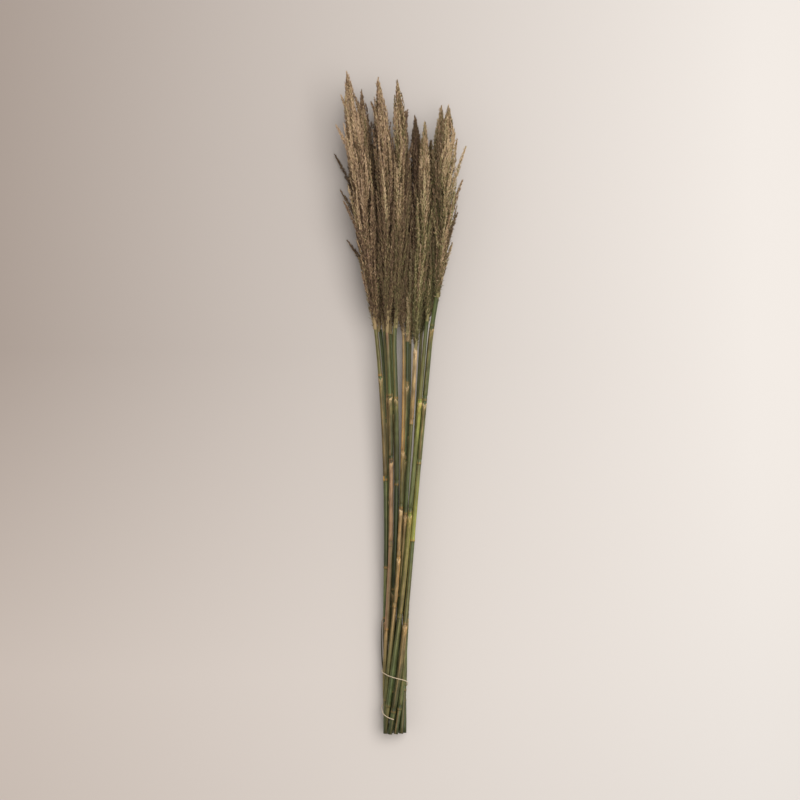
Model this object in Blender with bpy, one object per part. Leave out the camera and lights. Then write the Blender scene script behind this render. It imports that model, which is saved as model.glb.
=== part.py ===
"""A tied bundle of thirteen cut and dried plume reeds, lying on a flat surface.

Each reed is a jointed culm with two or three leaf sheaths wrapped round it and a lance-shaped plume on
top. One string holds the butts together. +Y runs along the bundle from the cut ends to the plume tips,
+Z is up from the surface, and the origin is under the middle of the bundle. Lengths here are in
millimetres and become metres as the objects are made.
"""

import math
from collections import namedtuple

import bpy
import numpy as np

MM = 0.001

# The bundle.
STATION = 15.0  # spacing of the cross-sections that the reeds are packed in
TIP_Y = 1200.0  # the longest reed, cut end to tip
FAN_Y = 730.0  # where the culms reach their full spread, just under the plumes
TWIST = math.radians(100.0)  # how far the butts are wound round each other
TWIST_Y = 380.0  # the twist is used up over this length
BUTT_CENTRE = (-8.5, 24.9)  # middle of the tied end, across and up
FAN_CENTRE = (12.3, 36.0)  # middle of the culms at FAN_Y
FAN_WIDEN = (1.76, 0.25)  # growth of the spread from butt to FAN_Y, across and up
FAN_POWER = 2.3  # how late the spread opens

# Packing.
CELL_R = 5.35  # room for one culm, its sheath and half a gap, in the tied end
OUTER_R = 3.236 * CELL_R  # ten cells in a ring
INNER_R = 1.18 * CELL_R  # three cells inside it
CULM_GAP = 0.5
PLUME_GAP = 1.3
ROUNDS = 500
STIFF = 45.0  # length over which a culm shares out a push, as its stiffness does

# Culms.
NODE_SWELL = 1.13  # a joint's radius over the culm's
NODE_HALF = 3.2  # half the length of a joint's swelling
RING = 40.0  # greatest distance between a culm's cross-sections
RIND = 0.55  # thickness of a leaf sheath
SHEATH_GAP = 0.32  # sheath to culm
SHEATH_OPEN = math.radians(64.0)  # the slit down a sheath
SHEATH_SIDES = 9  # points across a sheath
SHEATH_SLANT = 4.0  # how much a sheath's top edge drops towards its slit
END_GAP = 0.8  # culm to plume

# String.
STRING_R = 0.7
STRING_GAP = 0.35
# The string's route: turn round the bundle in degrees (0 right, 90 top, 180 left) and distance from the cut.
STRING_ROUTE = [(88, 24), (180, 42), (270, 66), (360, 92), (450, 103), (540, 113), (612, 117)]
KNOT_R = 1.9

# One row for each reed. ring and slot place the butt: "out" slots are tenths of a turn, "in" slots are
# degrees. fan and belly are (across, up) at FAN_Y and at the plume's thickest; tip is (across, along, up).
# sheathed lists the joints, by number, that still carry a sheath; slit is the way that a sheath opens.
Reed = namedtuple("Reed", "ring slot fan belly tip top butt_r top_r plume_r joints sheathed slit")
REEDS = [
    Reed("out", 7, (-37, 45), (-61, 82), (-93, 1200, 84), 742, 4.3, 3.6, 19.5,
         (52, 209, 302, 463, 654), (0, 3), 200),
    Reed("out", 8, (-28, 35), (-46, 50), (-66, 1171, 52), 738, 4.0, 3.1, 18,
         (70, 238, 430, 618), (1, 2), 250),
    Reed("out", 6, (-21, 50), (-27, 82), (-35, 1189, 80), 736, 4.1, 3.4, 18.5,
         (40, 190, 345, 500, 618), (2, 3), 285),
    Reed("in", 260, (-13, 51), (9, 82), (-2, 1185, 82), 744, 4.2, 3.9, 18.5,
         (85, 262, 455, 612), (0, 2), 265),
    Reed("out", 5, (8, 48), (-8, 52), (12, 1135, 50), 728, 3.9, 2.9, 16,
         (60, 232, 326, 412, 520), (1, 2, 3), 240),
    Reed("in", 20, (14, 35), (27, 52), (31, 1125, 50), 716, 4.2, 4.0, 17,
         (95, 300, 502, 640), (1, 2), 300),
    Reed("in", 140, (31, 46), (47, 80), (50, 1110, 76), 704, 4.0, 3.2, 17,
         (75, 250, 402, 566), (1, 3), 320),
    Reed("out", 2, (42, 25), (56, 20), (60, 1085, 19), 736, 3.9, 2.8, 17.5,
         (45, 215, 390, 560), (0, 1), 210),
    Reed("out", 4, (50, 47), (68, 50), (77, 1142, 60), 752, 4.2, 3.5, 18,
         (50, 212, 404, 610), (1, 2), 275),
    Reed("out", 3, (52, 36), (81, 76), (90, 1139, 74), 800, 4.4, 4.1, 19.5,
         (40, 202, 352, 493, 609, 745), (0, 3, 4), 230),
    Reed("out", 9, (-33, 18), (-64, 20), (-104, 1105, 19), 738, 4.0, 3.2, 18,
         (64, 222, 400, 575), (0, 2), 90),
    Reed("out", 0, (-16, 22), (-22, 20), (-40, 1150, 18), 730, 4.1, 3.3, 18,
         (58, 246, 418, 590), (0, 2), 100),
    Reed("out", 1, (21, 20), (18, 20), (8, 1095, 18), 712, 4.0, 3.1, 18,
         (78, 228, 384, 548), (0, 2), 80),
]
FIRST_SLOT = math.radians(12.0)  # turn of the outer ring

# Plume outline: share of the plume's length, share of its full radius.
PLUME_SHAPE = [(0, 0.2), (0.1, 0.42), (0.22, 0.72), (0.36, 0.95), (0.52, 1), (0.68, 0.84), (0.82, 0.6),
               (0.93, 0.34), (1, 0.09)]

Look = namedtuple("Look", "colour roughness metallic")
LOOKS = {
    "culm_green": Look((0.105, 0.13, 0.05), 0.5, 0.0),
    "sheath_straw": Look((0.33, 0.25, 0.12), 0.6, 0.0),
    "plume_brown": Look((0.2, 0.145, 0.085), 0.9, 0.0),
    "plume_olive": Look((0.17, 0.155, 0.075), 0.9, 0.0),
    "string_natural": Look((0.6, 0.48, 0.34), 0.9, 0.0),
}


def smooth(t):
    """Eases from 0 to 1 as t does."""
    t = np.clip(t, 0.0, 1.0)
    return t * t * (3 - 2 * t)


def turned(point, angle):
    """A point across the bundle, turned about its middle."""
    c, s = np.cos(angle), np.sin(angle)
    return np.stack([c * point[0] - s * point[1], s * point[0] + c * point[1]], axis=-1)


def butt_of(reed):
    """Where a reed stands in the tied end: ten cells round three."""
    if reed.ring == "out":
        angle, radius = FIRST_SLOT + reed.slot * math.tau / 10, OUTER_R
    else:
        angle, radius = math.radians(reed.slot), INNER_R
    return radius * math.cos(angle), radius * math.sin(angle)


def route_of(reed, y):
    """The planned line of a reed: wound with the others near the butt, then fanning out, then its plume."""
    twist = TWIST * (1 - (1 - np.clip(y / TWIST_Y, 0, 1)) ** 2)
    share = smooth(y / FAN_Y)
    butt = np.array(butt_of(reed))
    fan = (np.array(reed.fan) - FAN_CENTRE) / (1 + np.array(FAN_WIDEN))
    fan_unwound = turned(fan, TWIST)
    cell = (1 - share)[:, None] * butt + share[:, None] * fan_unwound
    cell = turned(cell.T, -twist)
    widen = 1 + np.array(FAN_WIDEN) * (np.clip(y / FAN_Y, 0, 1) ** FAN_POWER)[:, None]
    centre = (1 - share)[:, None] * BUTT_CENTRE + share[:, None] * FAN_CENTRE
    low = centre + cell * widen

    tip_x, tip_y, tip_z = reed.tip
    belly_y = reed.top + 0.45 * (tip_y - reed.top)
    knots = np.array([FAN_Y, belly_y, tip_y])
    stops = np.array([reed.fan, reed.belly, (tip_x, tip_z)], float)
    high = 0.0
    for i in range(3):
        others = np.delete(knots, i)
        weight = np.prod([(y - other) / (knots[i] - other) for other in others], axis=0)
        high = high + weight[:, None] * stops[i]
    return np.where((y <= FAN_Y)[:, None], low, high)


def culm_radius(reed, y):
    """A culm's bare radius, thinner towards the plume."""
    return reed.butt_r + (reed.top_r - reed.butt_r) * np.clip(np.asarray(y, float) / reed.top, 0, 1)


def plume_radius(reed, y):
    share, size = np.array(PLUME_SHAPE).T
    t = (np.asarray(y, float) - reed.top) / (reed.tip[1] - reed.top)
    return reed.plume_r * np.interp(t, share, size)


def room(reed, y):
    """The radius that a reed needs at each station; none above its tip."""
    culm = culm_radius(reed, y) * NODE_SWELL + SHEATH_GAP + RIND * 0.5
    whole = np.where(y < reed.top, culm, np.maximum(plume_radius(reed, y), 1.0))
    return np.where(y <= reed.tip[1], whole, np.nan)


def packed(y):
    """Lines of all the reeds, pushed apart until none touches another or the surface."""
    plan = np.array([route_of(reed, y) for reed in REEDS])
    need = np.array([room(reed, y) for reed in REEDS])
    in_plume = np.array([y >= reed.top for reed in REEDS])
    gap = np.where(in_plume[:, None] | in_plume[None], PLUME_GAP, CULM_GAP)
    reach = need[:, None] + need[None] + gap
    reach[np.arange(len(REEDS)), np.arange(len(REEDS))] = np.nan
    floor = need + np.where(y < FAN_Y / 2, 2 * STRING_R + STRING_GAP, 0.0)[None]
    spread = np.exp(-0.5 * ((y[:, None] - y[None]) / STIFF) ** 2)
    spread /= spread.sum(1, keepdims=True)

    moved = np.zeros_like(plan)
    for turn in range(ROUNDS):
        at = plan + moved
        apart = at[:, None] - at[None]
        distance = np.maximum(np.linalg.norm(apart, axis=-1), 1e-6)
        short = np.nan_to_num(np.clip(reach - distance, 0, None))
        push = (apart / distance[..., None] * (0.5 * short)[..., None]).sum(1)
        push[..., 1] += np.nan_to_num(np.clip(floor - at[..., 1], 0, None))
        moved += 0.7 * push
        if turn < ROUNDS * 0.8:
            moved = 0.6 * moved + 0.4 * np.einsum("ab,rbc->rac", spread, moved)
    return plan + moved


def material(name):
    look = LOOKS[name]
    made = bpy.data.materials.get(name) or bpy.data.materials.new(name)
    made.use_nodes = True
    shader = made.node_tree.nodes["Principled BSDF"]
    shader.inputs["Base Color"].default_value = (*look.colour, 1.0)
    shader.inputs["Roughness"].default_value = look.roughness
    shader.inputs["Metallic"].default_value = look.metallic
    made.diffuse_color = (*look.colour, 1.0)
    return made


def placed(name, data, at, look, bundle):
    """Links an object whose origin is the given point, and parents it to the bundle."""
    made = bpy.data.objects.new(name, data)
    bpy.context.scene.collection.objects.link(made)
    made.location = [v * MM for v in at]
    made.parent = bundle
    data.materials.append(material(look))
    return made


def tube(name, points, radii, sides, look, bundle):
    """A round solid of changing radius along a line, as a bevelled curve with filled caps."""
    data = bpy.data.curves.new(name, "CURVE")
    data.dimensions = "3D"
    data.bevel_depth = MM
    data.bevel_resolution = sides // 2 - 2
    data.use_fill_caps = True
    line = data.splines.new("POLY")
    line.points.add(len(points) - 1)
    line.use_smooth = True
    for knot, point, radius in zip(line.points, points, radii, strict=True):
        knot.co = (*[v * MM for v in point - points[0]], 1.0)
        knot.radius = radius
    return placed(name, data, points[0], look, bundle)


def on_line(line, y):
    """The points of a reed's packed line at the given distances from the cut."""
    y = np.atleast_1d(np.asarray(y, float))
    stations = np.arange(len(line)) * STATION
    return np.stack([np.interp(y, stations, line[:, 0]), y, np.interp(y, stations, line[:, 1])], axis=1)


def culm_rings(reed):
    """Where a culm's rings stand and how much each is swollen: three at each joint, plain ones between."""
    rings = {0.0: 1.0, reed.top - END_GAP: 1.0}
    for joint in reed.joints:
        rings |= {joint - NODE_HALF: 1.0, float(joint): NODE_SWELL, joint + NODE_HALF: 1.0}
    ends = sorted(rings)
    for low, high in zip(ends[:-1], ends[1:], strict=True):
        for share in np.linspace(0, 1, int((high - low) // RING) + 2)[1:-1]:
            rings[float(low + share * (high - low))] = 1.0
    y = np.array(sorted(rings))
    return y, np.array([rings[v] for v in sorted(rings)])


def make_culm(number, reed, line, bundle):
    """A jointed stem."""
    y, swell = culm_rings(reed)
    tube(f"culm_{number:02d}", on_line(line, y), culm_radius(reed, y) * swell, 8, "culm_green", bundle)


def make_plume(number, reed, line, bundle):
    """The flower head as one lance-shaped solid."""
    share, size = np.array(PLUME_SHAPE).T
    y = reed.top + share * (reed.tip[1] - reed.top)
    look = "plume_brown" if reed.fan[0] < 0 else "plume_olive"
    tube(f"plume_{number:02d}", on_line(line, y), reed.plume_r * size, 10, look, bundle)


def make_sheath(name, reed, line, low, high, bundle):
    """A leaf sheath: a thin shell rolled round the culm above a joint, slit down one side, slant-topped."""
    rings = culm_rings(reed)[0]
    knots = on_line(line, rings)
    rows = [low, *rings[(rings > low + 4) & (rings < high - 8)], high]
    slit = math.radians(reed.slit)
    turns = slit + np.linspace(SHEATH_OPEN / 2, math.tau - SHEATH_OPEN / 2, SHEATH_SIDES)
    start = on_line(line, low)[0]
    points = []
    for row in rows:
        slant = SHEATH_SLANT if row == high else 0.0
        for turn in turns:
            y = row - slant * math.cos(turn - slit)
            radius = float(culm_radius(reed, y)) + SHEATH_GAP
            x = float(np.interp(y, rings, knots[:, 0])) + radius * math.cos(turn)
            z = float(np.interp(y, rings, knots[:, 2])) + radius * math.sin(turn)
            points.append((np.array([x, y, z]) - start) * MM)
    corners = np.array([0, 1, SHEATH_SIDES + 1, SHEATH_SIDES])
    first = np.arange(len(rows) - 1)[:, None] * SHEATH_SIDES + np.arange(SHEATH_SIDES - 1)
    faces = (first.reshape(-1, 1) + corners).tolist()
    data = bpy.data.meshes.new(name)
    data.from_pydata(points, [], faces)
    data.shade_smooth()
    made = placed(name, data, start, "sheath_straw", bundle)
    wall = made.modifiers.new("wall", "SOLIDIFY")
    wall.thickness = RIND * MM
    wall.offset = -1.0  # the faces point inwards here, so this grows the shell away from the culm
    wall.use_even_offset = True


def make_sheaths(number, reed, line, bundle):
    """The sheaths left on after the blades are stripped. Each runs from its joint nearly to the next."""
    for count, index in enumerate(reed.sheathed, start=1):
        low = reed.joints[index] + NODE_HALF + 4.0
        high = (*reed.joints, reed.top)[index + 1] - NODE_HALF - SHEATH_SLANT - 2.0
        make_sheath(f"leaf_sheath_{number:02d}_{count}", reed, line, low, high, bundle)


def make_string(lines, bundle):
    """One string wound round the butts. It stands just off the outermost culm in every direction."""
    turn, along = np.radians([p[0] for p in STRING_ROUTE]), [p[1] for p in STRING_ROUTE]
    steps = np.linspace(turn[0], turn[-1], 48)
    points = []
    for step in steps:
        y = float(np.interp(step, turn, along))
        # a straight run between route points would kink, so each point is the mean of its surroundings
        y = float(np.mean(np.interp(step + np.radians([-40, -20, 0, 20, 40]), turn, along)))
        way = np.array([math.cos(step), math.sin(step)])
        reach = max(
            (on_line(line, y)[0][[0, 2]] - BUTT_CENTRE) @ way
            + float(culm_radius(reed, y)) * NODE_SWELL + RIND
            for reed, line in zip(REEDS, lines, strict=True)
        )
        away = reach + STRING_GAP + STRING_R + SHEATH_GAP
        points.append((BUTT_CENTRE[0] + away * way[0], y, BUTT_CENTRE[1] + away * way[1]))
    points = np.array(points)
    tube("tie_string", points, np.full(len(points), STRING_R), 6, "string_natural", bundle)
    return points


def make_knot(points, bundle):
    """The overhand knot in the string's upper end, a flattened ball just past it."""
    along = points[-1] - points[-2]
    along /= np.linalg.norm(along)
    line = np.array([points[-1] + along * (END_GAP + t * 2.6 * KNOT_R) for t in np.linspace(0, 1, 6)])
    radii = KNOT_R * np.array([0.45, 0.85, 1.0, 1.0, 0.85, 0.45])
    tube("tie_knot", line, radii, 8, "string_natural", bundle)


def set_on_origin(bundle):
    """Moves the bundle so that the origin lies under its middle, on the surface."""
    bpy.context.view_layer.update()
    graph = bpy.context.evaluated_depsgraph_get()
    corners = np.concatenate([
        [tuple(piece.matrix_world @ vertex.co) for vertex in piece.evaluated_get(graph).to_mesh().vertices]
        for piece in bundle.children
    ])
    low, high = corners.min(0), corners.max(0)
    bundle.location = (-(low[0] + high[0]) / 2, -(low[1] + high[1]) / 2, -low[2])


def main():
    for old in list(bpy.data.objects):
        bpy.data.objects.remove(old)
    bundle = bpy.data.objects.new("bundle", None)
    bpy.context.scene.collection.objects.link(bundle)
    lines = packed(np.arange(0, TIP_Y + STATION / 2, STATION))
    for number, (reed, line) in enumerate(zip(REEDS, lines, strict=True), start=1):
        make_culm(number, reed, line, bundle)
        make_plume(number, reed, line, bundle)
        make_sheaths(number, reed, line, bundle)
    points = make_string(lines, bundle)
    make_knot(points, bundle)
    set_on_origin(bundle)


main()
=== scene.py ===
"""A tied bundle of cut and dried plume reeds, lying on a pale floor.

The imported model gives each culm, leaf sheath, plume, string and knot as a plain solid. Every operator here
reads the line and the thickness of such a solid and puts a detailed piece in its place.
"""

import math
from collections import namedtuple
from types import SimpleNamespace

import bpy
import numpy as np
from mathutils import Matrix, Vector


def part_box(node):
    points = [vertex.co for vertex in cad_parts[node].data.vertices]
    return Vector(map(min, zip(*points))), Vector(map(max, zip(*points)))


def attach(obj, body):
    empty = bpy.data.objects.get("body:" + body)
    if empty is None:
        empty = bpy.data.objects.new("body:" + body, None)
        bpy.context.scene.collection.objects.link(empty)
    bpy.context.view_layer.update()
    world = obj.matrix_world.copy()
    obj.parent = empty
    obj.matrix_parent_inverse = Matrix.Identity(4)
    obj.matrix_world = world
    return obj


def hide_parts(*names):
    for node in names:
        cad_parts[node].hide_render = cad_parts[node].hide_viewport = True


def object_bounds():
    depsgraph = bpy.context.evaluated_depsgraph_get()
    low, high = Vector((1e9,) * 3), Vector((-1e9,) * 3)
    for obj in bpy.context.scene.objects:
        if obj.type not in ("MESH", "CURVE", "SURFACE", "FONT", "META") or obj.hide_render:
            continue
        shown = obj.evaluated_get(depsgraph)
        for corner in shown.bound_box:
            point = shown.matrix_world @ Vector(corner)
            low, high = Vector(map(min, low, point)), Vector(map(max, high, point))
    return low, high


bl_info = {
    "name": "Plume Reed Bundle",
    "version": (1, 0, 0),
    "blender": (4, 5, 0),
    "location": "3D View > Sidebar > Plume Reed",
    "description": "Builds a tied bundle of dried plume reeds round its packed model",
    "category": "Object",
}

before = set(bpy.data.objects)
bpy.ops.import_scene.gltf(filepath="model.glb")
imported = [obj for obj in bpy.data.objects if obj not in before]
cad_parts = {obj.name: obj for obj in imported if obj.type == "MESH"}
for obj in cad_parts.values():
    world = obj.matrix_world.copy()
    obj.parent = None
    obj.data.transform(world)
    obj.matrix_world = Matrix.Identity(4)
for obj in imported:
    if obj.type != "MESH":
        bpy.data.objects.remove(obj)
cad_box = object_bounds()

MM = 0.001
BAKE_MAP = "OFBake"  # the map that the finished surfaces are drawn on
TINT = "tint"  # the colour attribute of the stems and sheaths


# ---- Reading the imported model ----


def nodes_named(prefix):
    """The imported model's nodes whose names start so, in order."""
    found = sorted(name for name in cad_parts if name.startswith(prefix))
    if not found:
        raise RuntimeError(f"the packed model has no node that starts with {prefix}")
    return found


def ends_of(name):
    """Where a node starts and ends along the bundle."""
    return [corner[1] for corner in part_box(name)]


def triangles_of(name):
    """A node's triangles as an array of corners."""
    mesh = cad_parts[name].data
    points = np.empty(len(mesh.vertices) * 3, np.float32)
    mesh.vertices.foreach_get("co", points)
    mesh.calc_loop_triangles()
    index = np.empty(len(mesh.loop_triangles) * 3, np.int32)
    mesh.loop_triangles.foreach_get("vertices", index)
    return points.reshape(-1, 3)[index].reshape(-1, 3, 3).astype(float)


def sections(name, y):
    """Where planes across the bundle cut a node: the centre and mean radius of each cut.

    A triangle that meets a plane does so in a segment. The centre is the mean of the segments' middles
    weighted by their lengths, and the radius is the sum of the lengths over a circle's.
    """
    corners = triangles_of(name)[None]
    depth = corners[..., 1] - np.asarray(y, float)[:, None, None]
    after = np.roll(depth, -1, axis=2)
    crosses = (depth > 0) != (after > 0)
    share = np.where(crosses, depth / np.where(crosses, depth - after, 1), 0)[..., None]
    met = corners + share * (np.roll(corners, -1, axis=2) - corners)
    length = np.zeros(depth.shape[:2])
    for a, b in ((0, 1), (1, 2), (2, 0)):
        both = crosses[..., a] & crosses[..., b]
        length += both * np.linalg.norm(met[..., a, :] - met[..., b, :], axis=-1)
    middle = (met * crosses[..., None]).sum(2) / np.maximum(crosses.sum(2), 1)[..., None]
    total = np.maximum(length.sum(1), 1e-9)
    centre = (middle * length[..., None]).sum(1) / total[:, None]
    return centre, total / math.tau


def smoothed(values, width):
    """Values averaged with their neighbours by a bell of this many steps, the ends held."""
    reach = int(3 * width)
    weights = np.exp(-0.5 * (np.arange(-reach, reach + 1) / width) ** 2)
    weights /= weights.sum()
    padded = np.concatenate(
        [2 * values[0] - values[reach:0:-1], values, 2 * values[-1] - values[-2 : -reach - 2 : -1]]
    )
    return np.stack([np.convolve(column, weights, "valid") for column in padded.T], axis=1)


def bell(distance, width, power=2):
    """1 at no distance, falling as e to the minus (distance over width) to a power."""
    return np.exp(-np.abs(distance / width) ** power)


def read_stem(name):
    """A culm's line, its ends, its bare radius there and the places of its joints, from its solid."""
    low, high = ends_of(name)
    y = np.arange(low + 1.5 * MM, high - 1.5 * MM, 1.5 * MM)
    centre, radius = sections(name, y)
    ends = np.median(radius[:40]), np.median(radius[-40:])
    swell = radius / np.interp(y, (low, high), ends)
    peak = (swell > 1.07) & (swell >= np.maximum(np.roll(swell, 1), np.roll(swell, -1)))
    peaks = y[peak]
    joints = [peaks[0]] if len(peaks) else []
    for place in peaks:
        if place - joints[-1] > 20 * MM:
            joints.append(place)
    line = smoothed(centre, 8)
    return SimpleNamespace(y=y, line=line, low=low, high=high, ends=ends, joints=np.array(joints))


def on(line_y, line, y):
    """Points at these distances along a line, run on straight past its ends."""
    y = np.asarray(y, float)
    found = np.stack([np.interp(y, line_y, line[:, k]) for k in range(3)], axis=-1)
    for end, other in ((0, 4), (-1, -5)):
        slope = (line[end] - line[other]) / (line_y[end] - line_y[other])
        past = y < line_y[0] if end == 0 else y > line_y[-1]
        found = np.where(past[..., None], line[end] + (y - line_y[end])[..., None] * slope, found)
    return found


# ---- Meshes ----


def grid(rows, columns, joined):
    """The quads of a grid of points, counted along its rows, and each corner's place on the grid from 0 to 1.
    joined closes it into a tube, from its last column to its first."""
    across = columns if joined else columns - 1
    r, c = np.divmod(np.arange((rows - 1) * across), across)
    steps = np.array([(0, 0), (0, 1), (1, 1), (1, 0)])
    row = r[:, None] + steps[:, 0]
    column = c[:, None] + steps[:, 1]
    place = np.stack([column / across, row / (rows - 1)], axis=-1)
    return row * columns + column % columns, place


def capped(tube, first, last):
    """A tube, given as rings of points, closed to a centre at each end: its points, faces and map places. The
    closing triangles share a thin strip at the map's end that their ring meets."""
    rows, sides = tube.shape[:2]
    quads, at = grid(rows, sides, True)
    faces, places = [quads[:, ::-1]], [at[:, ::-1]]
    ring = np.arange(sides)
    left, right = ring / sides, (ring + 1) / sides
    for end, inner in ((0, 0.004), (1, 0.996)):
        rim = np.stack([np.roll(ring, -1), ring][:: 1 - 2 * end], axis=1) + end * (rows - 1) * sides
        u = np.stack([*(right, left)[:: 1 - 2 * end], (left + right) / 2], axis=1)
        faces.append(np.concatenate([rim, np.full((sides, 1), rows * sides + end)], axis=1))
        places.append(np.stack([u, np.broadcast_to((end, end, inner), u.shape)], axis=-1))
    return np.concatenate([tube.reshape(-1, 3), first, last]), faces, places


def linked(name, data):
    """A new object in the scene."""
    made = bpy.data.objects.new(name, data)
    bpy.context.scene.collection.objects.link(made)
    return made


class Surface:
    """Points, faces and map places gathered from several shapes into one mesh."""

    def __init__(self):
        self.points, self.faces, self.places, self.tints, self.count = [], [], [], [], 0

    def add(self, points, faces, places, tint=None):
        """faces and places are matching lists of arrays, one for each number of corners."""
        points = np.asarray(points, float).reshape(-1, 3)
        self.points.append(points)
        self.faces += [np.asarray(f) + self.count for f in faces]
        self.places += list(places)
        if tint is not None:
            self.tints.append(np.asarray(tint, float).reshape(-1, 3))
        self.count += len(points)

    def finish(self, name, material, replaced, smooth=True):
        """Everything gathered as one object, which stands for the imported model's nodes replaced."""
        mesh = bpy.data.meshes.new(name)
        points = np.concatenate(self.points)
        corners = np.concatenate([f.ravel() for f in self.faces])
        sizes = np.concatenate([np.full(len(f), f.shape[1]) for f in self.faces])
        mesh.vertices.add(len(points))
        mesh.vertices.foreach_set("co", points.astype(np.float32).ravel())
        mesh.loops.add(len(corners))
        mesh.loops.foreach_set("vertex_index", corners.astype(np.int32))
        mesh.polygons.add(len(sizes))
        mesh.polygons.foreach_set("loop_start", (np.cumsum(sizes) - sizes).astype(np.int32))
        layer = mesh.uv_layers.new(name=BAKE_MAP)
        places = np.concatenate([p.reshape(-1, 2) for p in self.places])
        layer.uv.foreach_set("vector", places.astype(np.float32).ravel())
        if self.tints:
            tints = np.ones((len(points), 4), np.float32)
            tints[:, :3] = np.concatenate(self.tints)
            mesh.attributes.new(TINT, "FLOAT_COLOR", "POINT").data.foreach_set("color", tints.ravel())
        mesh.polygons.foreach_set("use_smooth", np.full(len(sizes), smooth))
        mesh.update(calc_edges=True)
        mesh.validate()
        mesh.materials.append(material)
        piece = linked(name, mesh)
        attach(piece, "root")
        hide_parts(*replaced)
        return piece


def unit(vectors):
    """Vectors over their lengths."""
    return vectors / np.maximum(np.linalg.norm(vectors, axis=-1, keepdims=True), 1e-12)


def frames_of(line, up=(0.0, 0.0, 1.0)):
    """The direction of a line at each point, and two directions square to it and to each other."""
    along = unit(np.gradient(line, axis=-2))
    side = unit(np.cross(along, np.broadcast_to(up, along.shape)))
    return along, side, np.cross(side, along)


def around(turn, side, rise):
    """The directions at these turns: side times the cosine plus rise times the sine."""
    return np.cos(turn)[..., None] * side + np.sin(turn)[..., None] * rise


def turns_of(sides):
    """Turns spaced evenly round a circle."""
    return np.linspace(0, math.tau, sides, endpoint=False)


def hoops(line, radius, turns, up=(0.0, 0.0, 1.0)):
    """Rings of points round a line, each at its radius from the line's point in the direction at its turn."""
    _, side, rise = frames_of(line, up)
    return line[:, None] + radius[..., None] * around(turns, side[:, None], rise[:, None])


# ---- Materials ----


def shader(name, roughness, **sockets):
    """A material with a Principled shader, and its node tree."""
    made = bpy.data.materials.new(name)
    made.use_nodes = True
    tree = made.node_tree
    surface = tree.nodes["Principled BSDF"]
    surface.inputs["Roughness"].default_value = roughness
    for socket, value in sockets.items():
        surface.inputs[socket.replace("_", " ")].default_value = value
    return made, tree, surface


def added(tree, kind, inputs=(), **settings):
    """A shader node with its settings, and its inputs set to a value or linked to an output."""
    node = tree.nodes.new(f"ShaderNode{kind}")
    for name, value in settings.items():
        setattr(node, name, value)
    for socket, value in dict(inputs).items():
        if isinstance(value, bpy.types.NodeSocket):
            tree.links.new(value, node.inputs[socket])
        else:
            node.inputs[socket].default_value = value
    return node


def ramp(tree, fac, stops):
    """A colour ramp with these (place, colour) stops."""
    node = added(tree, "ValToRGB", {"Fac": fac})
    elements = node.color_ramp.elements
    while len(elements) < len(stops):
        elements.new(0.5)
    for element, (place, colour) in zip(elements, stops, strict=True):
        element.position = place
        element.color = (*colour, 1.0)
    return node.outputs["Color"]


def mixed(tree, fac, first, second, blend="MIX"):
    """Two colours mixed, each a value or an output."""
    node = added(tree, "Mix", data_type="RGBA", blend_type=blend)
    for socket, value in (("Factor", fac), ("A", first), ("B", second)):
        kind = "VALUE" if socket == "Factor" else "RGBA"
        target = next(i for i in node.inputs if i.name == socket and i.type == kind)
        if isinstance(value, bpy.types.NodeSocket):
            tree.links.new(value, target)
        else:
            target.default_value = value if socket == "Factor" else (*value, 1.0)
    return next(o for o in node.outputs if o.type == "RGBA")


def map_of(tree, scale=(1.0, 1.0, 1.0)):
    """The piece's own map, stretched."""
    places = added(tree, "UVMap", uv_map=BAKE_MAP).outputs["UV"]
    return added(tree, "Mapping", {"Vector": places, "Scale": scale}).outputs["Vector"]


def noise(tree, vector, scale, detail, **more):
    """The strength of a noise over a vector."""
    inputs = {"Vector": vector, "Scale": scale, "Detail": detail, **more}
    return added(tree, "TexNoise", inputs).outputs["Fac"]


def roughened(tree, surface, height, distance):
    """Bumps a surface by a height."""
    bump = added(tree, "Bump", {"Height": height, "Strength": 0.5, "Distance": distance})
    tree.links.new(bump.outputs["Normal"], surface.inputs["Normal"])


def stem_material(name, settings, fibre, roughness):
    """A dry stem or sheath: its painted tints times fine lengthwise fibres, broad bands, and the blotches and
    specks of age."""
    made, tree, surface = shader(name, roughness, Specular_IOR_Level=0.3)
    place = added(tree, "TexCoord").outputs["Object"]
    fibres = noise(tree, map_of(tree, (fibre, 9.0, 1.0)), 1.0, 3.0, Roughness=0.6)
    bands = noise(tree, map_of(tree, (9.0, 5.0, 1.0)), 1.0, 2.0)
    blotches = noise(tree, place, 55.0, 4.0)
    specks = noise(tree, place, 420.0, 2.0)
    plain = (1.0, 1.0, 1.0)
    colour = added(tree, "Attribute", attribute_name=TINT).outputs["Color"]
    for share, fac, stops in (
        (1.0, fibres, [(0.28, (0.55, 0.55, 0.5)), (0.52, plain), (0.75, (1.35, 1.32, 1.2))]),
        (1.0, bands, [(0.34, (0.6, 0.62, 0.6)), (0.5, plain), (0.66, (1.3, 1.25, 1.15))]),
        (1.0, blotches, [(0.3, (0.72, 0.68, 0.6)), (0.55, plain), (0.8, (1.25, 1.2, 1.05))]),
        (0.6, specks, [(0.3, (0.45, 0.36, 0.25)), (0.4, plain), (1.0, plain)]),
    ):
        colour = mixed(tree, share, colour, ramp(tree, fac, stops), "MULTIPLY")
    tree.links.new(colour, surface.inputs["Base Color"])
    limits = {"To Min": roughness - 0.12, "To Max": roughness + 0.16}
    rough = added(tree, "MapRange", {"Value": blotches, **limits}).outputs["Result"]
    tree.links.new(rough, surface.inputs["Roughness"])
    roughened(tree, surface, fibres, settings.groove)
    return made


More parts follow.
